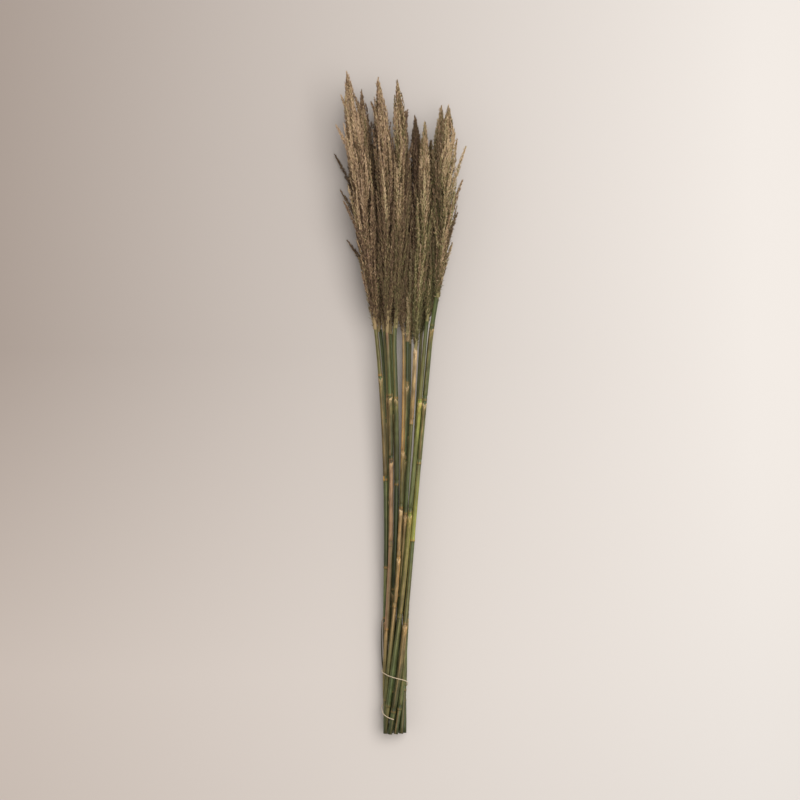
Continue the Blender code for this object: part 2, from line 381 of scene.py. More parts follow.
def plume_material(name, settings):
    """Dry spikelets. The map's first number picks the hue, from olive to purple-brown, and its second how
    pale the husk is, from its dark foot to its straw tip, with the painted shade of its place in the bundle
    added in."""
    made, tree, surface = shader(name, 0.72, Specular_IOR_Level=0.3)
    place = added(tree, "SeparateXYZ", {"Vector": map_of(tree)})
    hue = ramp(tree, place.outputs["X"], [(0.05, settings.olive), (0.38, settings.tan),
                                          (0.68, settings.brown), (0.95, settings.russet)])
    shade = ramp(tree, place.outputs["Y"], [(0.02, (0.17, 0.16, 0.16)), (0.3, (0.55, 0.54, 0.53)),
                                            (0.6, (1.0, 1.0, 1.0)), (0.95, (1.4, 1.42, 1.5))])
    straw = ramp(tree, place.outputs["Y"], [(0.55, (0.0, 0.0, 0.0)), (1.0, (0.75, 0.75, 0.75))])
    colour = mixed(tree, straw, mixed(tree, 1.0, hue, shade, "MULTIPLY"), settings.straw)
    tree.links.new(colour, surface.inputs["Base Color"])
    return made


def string_material(name, colour):
    """Undyed twine: fibres that follow each ply, and a matte fuzz."""
    made, tree, surface = shader(name, 0.85, Specular_IOR_Level=0.2, Sheen_Weight=0.25)
    fibres = noise(tree, map_of(tree, (14.0, 90.0, 1.0)), 1.0, 4.0)
    dark, pale = (tuple(min(1.0, share * part) for part in colour) for share in (0.55, 1.2))
    shade = ramp(tree, fibres, [(0.3, dark), (0.6, colour), (0.85, pale)])
    tree.links.new(shade, surface.inputs["Base Color"])
    roughened(tree, surface, fibres, 0.1 * MM)
    return made


# ---- Settings ----


def colour_prop(name, description, default):
    """A colour that a user may change."""
    return bpy.props.FloatVectorProperty(name=name, description=description, subtype="COLOR", size=3,
                                         min=0.0, max=1.0, default=default)


def length_prop(name, description, default):
    """A length that a user may change."""
    return bpy.props.FloatProperty(name=name, description=description, unit="LENGTH", subtype="DISTANCE",
                                   min=0.0, precision=5, default=default)


def number_prop(name, description, default, **more):
    """A plain number, or with more, one in a unit."""
    return bpy.props.FloatProperty(name=name, description=description, default=default, **more)


def count_prop(name, description, default):
    """A whole number of things."""
    return bpy.props.IntProperty(name=name, description=description, min=1, default=default)


class StemSettings(bpy.types.PropertyGroup):
    """Sizes and colours of the culms."""

    sides: count_prop("Sides", "Points round a stem", 20)
    groove: length_prop("Groove", "Depth of the fine lengthwise grooves", 0.25 * MM)
    swell: number_prop("Joint Swell", "A joint's radius over the stem's", 1.13)
    wall: number_prop("Wall", "Thickness of a cut stem's wall as a share of its radius", 0.3)
    hollow: length_prop("Hollow", "Depth of the hollow in a cut end", 16 * MM)
    green: colour_prop("Green", "Most of the stems", (0.105, 0.13, 0.046))
    deep: colour_prop("Deep Green", "The darkest stems", (0.05, 0.062, 0.022))
    olive: colour_prop("Olive", "Stems that are starting to dry", (0.15, 0.14, 0.048))
    lime: colour_prop("Yellow-Green", "The freshest stems", (0.3, 0.33, 0.062))
    tan: colour_prop("Tan", "Dry stems", (0.33, 0.215, 0.095))
    orange: colour_prop("Orange", "Stems dried in the sun", (0.47, 0.27, 0.09))
    straw: colour_prop("Straw", "The pale tops of sheaths", (0.72, 0.54, 0.33))
    pink: colour_prop("Pink-Brown", "One stem that dried reddish", (0.26, 0.155, 0.088))
    ring: colour_prop("Joint Ring", "The ring at a joint", (0.36, 0.19, 0.05))
    bright: colour_prop("Bright Patch", "Where a sheath tore off", (0.78, 0.46, 0.09))
    # painted shade: inside is the near-black colour given to the hollow for the shade within it
    inside: colour_prop("Inside", "The hollow of a cut stem", (0.05, 0.04, 0.025))
    pith: colour_prop("Pith", "The wall of a cut stem", (0.42, 0.33, 0.19))


class SheathSettings(bpy.types.PropertyGroup):
    """Sizes of the leaf sheaths."""

    thickness: length_prop("Thickness", "Thickness of a sheath", 0.28 * MM)
    clearance: length_prop("Clearance", "Gap between a stem and its sheath", 0.15 * MM)
    lap: number_prop("Lap", "How far a sheath's edges overlap, in turns", 0.12)
    tongue: length_prop("Tongue", "Length of the torn blade stub at a sheath's top", 7 * MM)
    flare: length_prop("Flare", "How far the torn stub stands away from the stem", 1.3 * MM)


class PlumeSettings(bpy.types.PropertyGroup):
    """Numbers, sizes and colours of the plumes."""

    branches: count_prop("Branches", "Branches in a plume", 100)
    spikelets: number_prop("Spikelets", "Husks on each millimetre of branch", 1.9)
    length: length_prop("Husk Length", "Length of a husk", 6.6 * MM)
    width: length_prop("Husk Width", "Width of a husk", 1.25 * MM)
    splay: number_prop("Splay", "Angle between a husk and its branch", math.radians(20), subtype="ANGLE")
    olive: colour_prop("Olive", "The greenest husks", (0.25, 0.235, 0.09))
    tan: colour_prop("Tan", "Most husks", (0.41, 0.275, 0.145))
    brown: colour_prop("Brown", "Darker husks", (0.335, 0.21, 0.12))
    russet: colour_prop("Russet", "Purple-brown husks", (0.26, 0.15, 0.105))
    straw: colour_prop("Straw", "Pale tips", (0.66, 0.5, 0.32))


class StringSettings(bpy.types.PropertyGroup):
    """Size and colour of the string."""

    ply: length_prop("Ply", "Radius of each of the two plies", 0.42 * MM)
    lay: length_prop("Lay", "Length of one twist of the plies", 5.0 * MM)
    colour: colour_prop("Colour", "Undyed twine", (0.86, 0.7, 0.5))


class StageSettings(bpy.types.PropertyGroup):
    """Floor, lights and camera."""

    floor: colour_prop("Floor", "The pale floor to the right of the bundle", (0.72, 0.69, 0.665))
    # shade and near paint the floor's left side darker: painted shade for the key lamp's fall-off
    shade: colour_prop("Floor Shade", "The floor to the left of the plumes", (0.375, 0.315, 0.28))
    near: colour_prop("Floor Near", "The floor to the left of the cut ends", (0.59, 0.52, 0.475))
    key: number_prop("Key Light", "Power of the large light on the right", 93.0)
    fill: number_prop("Fill Light", "Power of the weak light on the left", 4.0)
    sky: number_prop("Surroundings", "Strength of the even light from all round", 0.42)
    lens: number_prop("Lens", "Focal length of the camera", 100.0, unit="CAMERA")
    filled: number_prop("Fill", "Share of the picture's height that the bundle takes", 0.825)


class PlumeReedSettings(bpy.types.PropertyGroup):
    """Everything a user may change."""

    stem: bpy.props.PointerProperty(name="Stems", description="The culms", type=StemSettings)
    sheath: bpy.props.PointerProperty(name="Sheaths", description="The leaf sheaths", type=SheathSettings)
    plume: bpy.props.PointerProperty(name="Plumes", description="The flower heads", type=PlumeSettings)
    string: bpy.props.PointerProperty(name="String", description="The string and knot", type=StringSettings)
    stage: bpy.props.PointerProperty(name="Stage", description="Floor, lights, camera", type=StageSettings)


# Each reed's own look. streaks is how strong the streaks on its stem are. hue is its plume's mean hue at the
# top, from olive (0) to russet (1), and green how far towards olive it goes at the foot. light is how pale
# the plume is: partly its own tone, and partly painted shade that darkens the plumes lying deeper in the
# bundle, under the others. nudge is how far its middle and its tip lean across, in mm, and slim is its width
# over the solid's. stretches names the tone of each stretch of stem between joints, from the cut end up, or
# the tones at its foot and its head.
Look = namedtuple("Look", "streaks hue green light nudge slim stretches")
LOOKS = {
    1: Look(0.8, 0.6, 0.1, 0.14, (4, 4), 1.0,
            "deep>green green green>olive deep>green deep>green olive"),
    2: Look(0.9, 0.55, 0.14, -0.1, (-3, -4), 0.85,
            "deep>olive green>olive olive>green green>tan olive>green"),
    3: Look(0.9, 0.56, 0.12, 0.05, (5, -4), 0.92,
            "deep>olive olive>tan pink pink deep>olive green>pink"),
    4: Look(0.6, 0.46, 0.14, 0.04, (-7, -5), 0.8, "green green>deep deep deep>green deep>green"),
    5: Look(0.7, 0.62, 0.2, -0.3, (0, 2), 0.95,
            "green>olive olive>tan tan>orange tan olive>orange orange>tan"),
    6: Look(0.9, 0.66, 0.56, -0.36, (4, -4), 0.9, "deep>green green deep>olive green>olive green"),
    7: Look(0.5, 0.42, 0.46, 0.02, (-4, -4), 0.7, "deep>green green olive>tan green>olive tan>straw"),
    8: Look(0.9, 0.4, 0.32, -0.16, (0, 0), 1.0, "deep>green green deep>olive deep>olive green>olive"),
    9: Look(0.6, 0.42, 0.32, 0.12, (3, 2), 0.82, "deep>olive green>olive olive>lime green>lime olive>green"),
    10: Look(0.5, 0.4, 0.26, 0.12, (-5, -8), 0.92,
             "deep>green deep>tan olive>green lime>green green green green"),
    11: Look(0.8, 0.58, 0.14, -0.14, (8, 8), 1.0, "deep>green green green green green"),
    12: Look(0.8, 0.55, 0.2, -0.3, (0, 0), 0.95, "deep>green green deep>green deep>green green"),
    13: Look(0.8, 0.5, 0.3, -0.3, (0, 0), 0.85, "deep>green green deep>green deep>green green>olive"),
}


def number_of(name):
    """The reed that a node belongs to."""
    return next(int(part) for part in name.split("_") if part.isdigit())


# ---- Stems ----


SCAR = 2.4 * MM  # how far below a joint its leaf scar lies


def toward(tint, tone, share):
    """A tint moved a share of the way to a tone."""
    return tint + (np.array(tone) - tint) * share


def stretches_at(y, stem):
    """Where a stem's stretches end, and the number of the stretch that each place is on."""
    stops = np.concatenate([[stem.low], stem.joints, [stem.high]])
    return stops, np.clip(np.searchsorted(stops, y, side="right") - 1, 0, len(stops) - 2)


def stretch_tint(y, stem, look, settings, rng):
    """The tint along a stem: in each stretch between joints the tone at its foot runs into that at its head,
    and each stretch is a little lighter or darker than the next."""
    stops, index = stretches_at(y, stem)
    share = (y - stops[index]) / (stops[index + 1] - stops[index])
    pairs = [[tuple(getattr(settings, tone)) for tone in (pair.split(">")[0], pair.split(">")[-1])]
             for pair in look.stretches.split()]
    pairs = np.array(pairs) * rng.uniform(0.88, 1.14, (len(pairs), 1, 1))
    index = np.minimum(index, len(pairs) - 1)
    blend = (np.clip((share - 0.25) / 0.7, 0, 1) ** 1.4)[..., None]
    return pairs[index, 0] * (1 - blend) + pairs[index, 1] * blend


def streaked(tint, y, turns, stem, strength, settings, rng):
    """A tint with lengthwise streaks. Each stretch has three: a run of turns round the stem's upper half that
    takes a drier, darker or fresher tone, full inside its width and fading over a few degrees past it. A
    streak slants a little as it climbs."""
    stops, index = stretches_at(y, stem)
    tones = np.array([tuple(t) for t in (settings.tan, settings.olive, settings.deep, settings.green)])
    for _ in range(3):
        count = len(stops)
        tone = tones[rng.choice(4, count, p=(0.24, 0.2, 0.36, 0.2))] * rng.uniform(0.5, 1.15, (count, 1))
        middle = rng.uniform(0.08, 0.92, count) * math.pi
        half = rng.uniform(0.12, 0.5, count)
        full = rng.uniform(0.2, 0.95, count) * strength
        slant = rng.uniform(-1.2, 1.2, count)
        away = turns - middle[index] - slant[index] * (y - stops[index])
        away = np.abs(np.angle(np.exp(1j * away)))
        share = (full[index] / (1 + np.exp((away - half[index]) / 0.07)))[..., None]
        tint = toward(tint, tone[index], share)
    return tint


def stem_tint(y, turns, stem, number, settings, rng):
    """The painted tint of a stem: its stretches' tones and streaks, a yellow-brown ring at each joint and a
    dark line just under it. The outermost stem on the left has two bright patches where a sheath tore off."""
    base = stretch_tint(y, stem, LOOKS[number], settings, rng)[:, None] * np.ones((1, len(turns), 1))
    places = np.broadcast_arrays(y[:, None], turns[None])
    base = streaked(base, *places, stem, LOOKS[number].streaks, settings, rng)
    gap = y[:, None] - stem.joints
    full = rng.uniform(0.1, 0.6, len(stem.joints)) if number != 1 else 0.8
    ring = (full * bell(gap - 0.6 * MM, 1.9 * MM)).max(1)[:, None, None]
    base = toward(base, settings.ring, ring)
    if number == 1:
        for joint, up in ((stem.joints[3], 4 * MM), (stem.joints[3], 66 * MM)):
            patch = bell(y[:, None] - joint - up, 6 * MM, 4) * bell(turns[None] - 2.7, 0.7, 4)
            base = toward(base, settings.bright, patch[..., None])
    line = bell(gap + SCAR, 0.7 * MM).max(1)[:, None, None]
    return base * (1 - 0.6 * line)


def make_stem(name, material, settings):
    """One culm. Its radius tapers from end to end, swells at each joint as a bell curve with a fine scar
    groove under it, and dips slightly along one side above each joint, where a bud lay. The cut end is a
    wall round a hollow, painted near black inside as painted shade."""
    stem = read_stem(name)
    number = number_of(name)
    rng = np.random.default_rng(100 + number)
    near = np.array([-14, -9, -6, -4.2, -3, -2.2, -1.5, -0.8, 0, 0.8, 1.6, 2.6, 4, 6, 9, 14]) * MM
    y = np.concatenate([np.arange(stem.low, stem.high, 13 * MM), [stem.high],
                        (stem.joints[:, None] + near).ravel()])
    y = np.unique(np.round(np.clip(y, stem.low, stem.high), 5))
    y = y[np.concatenate([[True], np.diff(y) > 0.3 * MM])]
    turns = turns_of(settings.sides)
    radius = np.interp(y, (stem.low, stem.high), stem.ends)
    gap = y[:, None] - stem.joints
    lift = bell(gap, 3 * MM).sum(1) * (settings.swell - 1)
    scar = bell(gap + SCAR, 0.7 * MM).sum(1) * 0.05
    bud = bell(gap - 24 * MM, 16 * MM).sum(1) * 0.1
    facing = bell(np.angle(np.exp(1j * (turns - rng.uniform(0, math.tau)))), 0.5)
    rings = radius[:, None] * (1 + (lift - scar)[:, None] - bud[:, None] * facing)
    outside = hoops(on(stem.y, stem.line, y), rings, np.broadcast_to(turns, rings.shape))
    tint = stem_tint(y, turns, stem, number, settings, rng)

    # the hollow at the cut end: its rim, its wall, then a dished floor
    depth = np.array([1.0, 1.0, 0.4, 0.0])
    width = np.array([0.4, 0.9 - settings.wall, 0.97 - settings.wall, 1 - settings.wall])
    inner_line = on(stem.y, stem.line, stem.low + depth * settings.hollow)
    inner = (stem.ends[0] * width)[:, None] * np.ones(len(turns))
    inside = hoops(inner_line, inner, np.broadcast_to(turns, inner.shape))
    # painted shade: the hollow is painted near black, darkest at its floor and paling to the pith at its rim
    dark, pith = np.array(settings.inside), np.array(settings.pith)
    hollow_painted_shade = np.stack([dark * 0.6, dark, dark * 2, pith])[:, None].repeat(len(turns), 1)

    top = on(stem.y, stem.line, [stem.high])
    surface = Surface()
    surface.add(*capped(np.concatenate([inside, outside]), inner_line[:1], top),
                np.concatenate([hollow_painted_shade.reshape(-1, 3), tint.reshape(-1, 3), dark[None], tint[-1, :1]]))
    return surface.finish(name.replace("culm", "stem"), material, [name])


# ---- Sheaths ----


def sheet_of(outer, inner, tint):
    """A closed sheet: its outer and inner grids of points joined round their rim."""
    rows, columns = outer.shape[:2]
    rim = np.concatenate([
        np.arange(columns),
        np.arange(1, rows) * columns + columns - 1,
        (rows - 1) * columns + np.arange(columns - 1)[::-1],
        np.arange(1, rows - 1)[::-1] * columns,
    ])
    faces, places = grid(rows, columns, False)
    count = rows * columns
    after = np.roll(rim, -1)
    edge = np.stack([rim, after, after + count, rim + count], axis=1)
    flat = np.stack(np.divmod(np.arange(count), columns)[::-1], axis=-1) / (columns - 1, rows - 1)
    # the rim faces share the map's edge strip of the wall that they join
    edge_places = flat[edge % count] * (0.47, 0.98)
    inward = np.clip(edge_places, 0.01, (0.46, 0.97))
    edge_places = np.where((edge >= count)[..., None], inward, edge_places)
    return (np.concatenate([outer.reshape(-1, 3), inner.reshape(-1, 3)]),
            [faces[:, ::-1], faces + count, edge],
            [(places * (0.47, 0.98))[:, ::-1], places * (0.47, 0.98) + (0.5, 0.0), edge_places],
            np.concatenate([tint.reshape(-1, 3)] * 2))


def peeled_strip(stem, start, settings):
    """A strip peeled off a sheath, from start down beside its stem. It stands off in two bows, each the root
    of a half sine wave, and the string holds it down between them."""
    s = np.linspace(0, 1, 60)
    held = 0.62  # where the string holds it
    at = start - s * 156 * MM
    bow = np.where(s < held, 3.4 * np.abs(np.sin(np.pi * s / held)) ** 0.35,
                   2.4 * np.abs(np.sin(np.pi * (s - held) / (1 - held))) ** 0.4)
    stand = np.interp(at, (stem.low, stem.high), stem.ends) + (0.7 + bow) * MM
    middle = on(stem.y, stem.line, at) + stand[:, None] * np.array([-0.92, 0.0, 0.38])
    middle[:, 1] = at
    width = 1.1 * MM * (0.5 + 0.5 * np.sin(np.pi * s) ** 0.5)
    across = np.linspace(-1, 1, 4)
    wide, thin = np.array([0.87, 0.0, 0.5]), np.array([-0.5, 0.0, 0.87])
    strip = middle[:, None] + (width[:, None] * across)[..., None] * wide
    strip = strip + (0.25 * MM * (1 - across**2))[None, :, None] * thin
    # painted shade in part: the strip is olive darkened to near black, for its own dark tone and for the
    # shade on the bundle's left side, with a tan top
    tint = toward(np.array(settings.olive) * 0.3, settings.tan, bell(s, 0.09)[:, None])
    half = 0.15 * MM * thin
    return sheet_of(strip + half, strip - half, tint[:, None] * np.ones((1, len(across), 1)))


# Length of the torn tongue on some sheaths, in tongue lengths. The others' lengths are drawn.
TONGUES = {"leaf_sheath_01_2": 1.6, "leaf_sheath_03_2": 1.2, "leaf_sheath_02_2": 1.8, "leaf_sheath_05_2": 0.5,
           "leaf_sheath_05_1": 0.4, "leaf_sheath_09_2": 0.6, "leaf_sheath_10_1": 0.6, "leaf_sheath_06_2": 1.2}


def make_sheath(name, material, settings, stem_settings):
    """One leaf sheath: a sheet rolled a little more than once round its stem, in a spiral, with a torn tongue
    at the top of its back that stands slightly away from the stem. It takes the tone of the stretch of stem
    that it covers, dries to tan along its edges, and to pale straw over its last centimetres."""
    number = number_of(name)
    stem = read_stem(f"culm_{number:02d}")
    rng = np.random.default_rng(700 + 10 * number + int(name[-1]))
    low, high = ends_of(name)
    rows = np.concatenate([np.linspace(0, 0.88, 15), np.linspace(0.9, 1, 11)])
    columns = 30
    across = np.linspace(0, 1, columns)
    turn = rng.uniform(0, math.tau) + across * math.tau * (1 + settings.lap)
    if rng.uniform() < 0.6:  # most slits open upwards
        turn += rng.uniform(0.25, 0.75) * math.pi - turn[0]
    back = bell(across - 0.5, 0.11, 1.4)
    ragged = smoothed(rng.normal(0, 1, (columns, 1)), 1.0)[:, 0]
    tongue = settings.tongue * TONGUES.get(name, rng.uniform(0.3, 1.0))
    from_edge = np.minimum(across, 1 - across)
    notch = bell(from_edge, 0.09)
    top = high - 1.0 * MM + (tongue + 1 * MM) * back + ragged * 0.8 * MM - 7 * MM * notch
    y = np.minimum(low + rows[:, None] * (top - low), stem.high)
    line = on(stem.y, stem.line, y)
    radius = np.interp(y, (stem.low, stem.high), stem.ends) + settings.clearance
    swell = bell(y[..., None] - stem.joints, 3.4 * MM).sum(-1) * (stem_settings.swell - 1)
    radius = radius * (1 + 1.1 * swell) + (settings.thickness + 0.12 * MM) * across * (1 + settings.lap)
    loose = np.clip((y - (high - 10 * MM)) / (10 * MM), 0, 1.4) ** 2
    radius = radius + loose * (0.15 * MM + settings.flare * back * rng.uniform(0.1, 0.5))
    _, side, rise = (part.transpose(1, 0, 2) for part in frames_of(line.transpose(1, 0, 2)))
    out = around(turn[None], side, rise)
    outer = line + radius[..., None] * out
    inner = line + (radius - settings.thickness)[..., None] * out

    look, tan = LOOKS[number], np.array(stem_settings.tan)
    tint = stretch_tint(y.ravel(), stem, look, stem_settings, rng).reshape(*y.shape, 3)
    turned = np.broadcast_to(turn, y.shape)
    tint = streaked(toward(tint, tan, 0.06), y, turned, stem, look.streaks, stem_settings, rng)
    edge = bell(from_edge, 0.06)[None] * rng.uniform(0.4, 0.95) * np.clip(0.35 + 0.8 * rows, 0, 1)[:, None]
    tint = toward(tint, tan * 1.15, edge[..., None])
    down = np.clip(top - y, 0, None) * 0.7 + np.clip(high - y, 0, None) * 0.3
    dry = bell(down, rng.uniform(2.5, 6) * MM, 1.5) * rng.uniform(0.4, 0.85)
    warm = bell(down, rng.uniform(8, 24) * MM, 1.5) * rng.uniform(0.1, 0.5)
    tint = toward(tint, np.array(stem_settings.orange) * 0.8, warm[..., None])
    tint = toward(tint, stem_settings.straw, dry[..., None])
    surface = Surface()
    surface.add(*sheet_of(outer, inner, tint))

    if name == "leaf_sheath_01_1":
        surface.add(*peeled_strip(stem, high + 4 * MM, stem_settings))
    return surface.finish(name.replace("leaf_sheath", "sheath"), material, [name])


# ---- Plumes ----


def husks(base, along, length, width, spin):
    """Slim closed husks. Each is a foot, three points round its belly at two fifths of its length, and a tip;
    its six faces join them."""
    helper = np.where(np.abs(along[:, 2:3]) < 0.9, [[0.0, 0.0, 1.0]], [[1.0, 0.0, 0.0]])
    side = unit(np.cross(along, helper))
    rise = np.cross(side, along)
    turns = spin[:, None] + np.arange(3) * math.tau / 3
    belly = base[:, None] + (0.42 * length)[:, None, None] * along[:, None]
    belly = belly + (0.5 * width)[:, None, None] * around(turns, side[:, None], rise[:, None])
    tip = base + length[:, None] * along
    points = np.concatenate([base[:, None], belly, tip[:, None]], axis=1)
    shape = np.array([(0, 2, 1), (0, 3, 2), (0, 1, 3), (4, 1, 2), (4, 2, 3), (4, 3, 1)])
    faces = (np.arange(len(base)) * 5)[:, None, None] + shape
    return points, faces.reshape(-1, 3)


def at_share(paths, which, share):
    """Points at a share of the way along the paths with these numbers, and the paths' directions there."""
    last = paths.shape[1] - 1
    step = np.clip(share * last, 0, last - 1e-6)
    low = step.astype(int)
    part = (step - low)[:, None]
    first, second = paths[which, low], paths[which, low + 1]
    return first + part * (second - first), unit(second - first)


STEPS = 17  # points along a branch
FLOOR_GAP = 0.25 * MM  # the least height of a plume above the floor

# The plume's outline over its solid's, by share of its length: the solids keep clear of each other and the
# plumes mesh.
OUTLINE = ((0.0, 0.1, 0.3, 0.55, 0.75, 0.86, 0.93, 1.0), (1.4, 1.1, 0.88, 0.88, 1.05, 1.2, 0.9, 0.45))

# How much painted shade darkens a plume at its left and right flanks, where neighbours crowd it, and how
# fast painted shade darkens it from its head down. A plume with no row has no darker flank.
PAINTED_PLUME_SHADE = {1: (0.0, 0.2, 0.66), 2: (0.0, 0.35, 0.66), 3: (0.3, 0.1, 0.82), 4: (0.1, 0.45, 0.84),
           6: (0.0, 0.0, -0.35), 7: (0.35, 0.3, 0.5), 8: (0.1, 0.1, 0.5), 9: (0.25, 0.0, 0.5),
           10: (0.3, 0.0, 0.48)}

# Branches that stand out from a plume: across and along where the tip is, and the branch's length, in mm.
STRAYS = {
    1: [(-115, 503, 130), (-106, 556, 90), (-101, 365, 130), (-88, 560, 70)],
    11: [(-119, 457, 165), (-109, 392, 135), (-96, 300, 110)],
    10: [(118, 464, 170), (112, 404, 150), (94, 291, 100), (103, 345, 120)],
    9: [(86, 450, 120), (92, 350, 130)],
    8: [(79, 262, 120), (84, 300, 140), (73, 225, 90), (70, 190, 60)],
    4: [(17, 415, 120), (22, 470, 110)],
    7: [(52, 420, 110)],
    3: [(-52, 545, 80)],
}


def branch_paths(name, settings, rng):
    """The lines of a plume's branches. Each leaves the plume's axis, soon reaches its own share of the
    plume's radius and keeps it as the outline widens and narrows, and turns out a little at its tip. The
    shares fill the cross-section evenly. None dips under the floor. It also gives how near the outside each
    branch is, and last the axis, which has a line of its own."""
    low, high = ends_of(name)
    look = LOOKS[number_of(name)]
    y = np.linspace(low + 0.6 * MM, high - 0.6 * MM, 60)
    centre, radius = sections(name, y)
    centre = smoothed(centre, 3)
    span = high - low
    along = (y - low) / span
    centre[:, 0] += (look.nudge[0] * 4 * along * (1 - along) + look.nudge[1] * along**2) * MM
    outline = radius * look.slim * np.interp(along, *OUTLINE)
    count = settings.branches
    order = (np.arange(count) + rng.uniform(0, 1, count)) / count
    tip = 0.14 + 0.86 * order**0.62
    length = (0.4 - 0.27 * tip) * rng.uniform(0.7, 1.3, count)
    turn = np.arange(count) * math.pi * (3 - math.sqrt(5)) + rng.uniform(-0.3, 0.3, count)
    reach = np.sqrt(rng.uniform(0.04, 1.1, count)) * (1 - 0.6 * np.clip((tip - 0.93) / 0.07, 0, 1))
    foot = np.maximum(tip - length, rng.uniform(-0.03, 0.06, count))
    s = np.linspace(0, 1, STEPS)
    at = low + (foot[:, None] + (tip - foot)[:, None] * s) * span
    wave = rng.uniform(-1, 1, (count, 1)) * 2.0 * MM * np.sin(s * rng.uniform(3, 8, (count, 1)))
    leave = 1 - np.exp(-s / 0.14)
    flare = 7 * MM * (1 - np.clip((tip - 0.6) / 0.4, 0, 1))[:, None] * s**3
    out = reach[:, None] * (np.interp(at, y, outline) * leave + flare) + wave * s + 1.0 * MM
    turned = turn[:, None] + 0.3 * (s - 1) * rng.normal(0, 1, (count, 1))
    axis = on(y, centre, at)
    paths = axis + out[..., None] * around(turned, np.array([1.0, 0.0, 0.0]), np.array([0.0, 0.0, 1.0]))

    for across, up, long in STRAYS.get(number_of(name), ()):
        path_y = (up - long * (1 - s)) * MM
        path = on(y, centre, path_y)
        start = np.interp(path_y[0], y, outline) * 0.2
        swing = 0.1 * s + 0.9 * s**1.8
        path[:, 0] += (across * MM - on(y, centre, path_y[-1:])[0, 0]) * swing
        path[:, 2] += start + 2 * MM * np.sin(s * 5 + across)
        paths = np.concatenate([paths, path[None]])
    paths[..., 2] = np.maximum(paths[..., 2], 3.2 * MM + 0.8 * MM * np.sin(paths[..., 1] * 90))
    axis_line = on(y, centre, np.linspace(low - 4 * MM, high, 40))
    depth = np.concatenate([reach, np.full(len(paths) - count, 1.0), [0.3]])
    return paths, depth, axis_line, low, span


def husk_places(number, place, which, stray, depth, axis_line, low, span, rng):
    """The husks' places on the map. A husk's hue is its plume's, more olive towards the foot, plus a little
    by branch and by husk. Its paleness is its plume's, plus a little by branch and by husk, a little less on
    stray branches, and it carries painted shade: darker at crowded flanks, under the plume, deep inside it
    and towards its foot, and lighter on the plume's top. Each husk has its own small patch, wider at the
    belly so that no face is a line."""
    look = LOOKS[number]
    height = np.clip((place[:, 1] - low) / span, 0, 1)
    tone = rng.normal(0, 0.12, len(depth))[which] + rng.normal(0, 0.17, len(which)) + look.hue
    tone = np.clip(tone - look.green * (1 - np.clip(height / 0.75, 0, 1)), 0.02, 0.95)
    light = rng.normal(0, 0.13, len(depth))[which] + rng.normal(0.41 + look.light, 0.23, len(which))
    # strays are a little darker in tone; inner branches get painted shade, darker the deeper they lie
    light -= 0.12 * stray[which] + 0.3 * (1 - depth[which])
    # painted shade at the flanks where neighbouring plumes crowd
    left, right, fall = PAINTED_PLUME_SHADE.get(number, (0.0, 0.0, 0.6))
    across, up = (np.interp(place[:, 1], axis_line[:, 1], axis_line[:, k]) for k in (0, 2))
    flank = (place[:, 0] - across) / (14 * MM)
    light -= left * np.clip(-flank, 0, 1) ** 1.5 + right * np.clip(flank, 0, 1) ** 1.5
    # painted light and shade: lighter on the plume's top, darker under it and towards its foot
    top = np.clip((place[:, 2] - up) / (15 * MM), -1.2, 1.0)
    light = np.clip(light + fall * (height - 0.8) + 0.24 * top, 0.02, 0.74)
    u = tone[:, None] + 0.014 * np.array([0.5, 0.0, 0.5, 1.0, 0.5])
    v = light[:, None] + 0.22 * np.array([0.0, 0.42, 0.42, 0.42, 1.0]) + 0.006 * np.array([0, 0, 1, 0, 0])
    return np.stack([u, v], axis=-1).reshape(-1, 2)


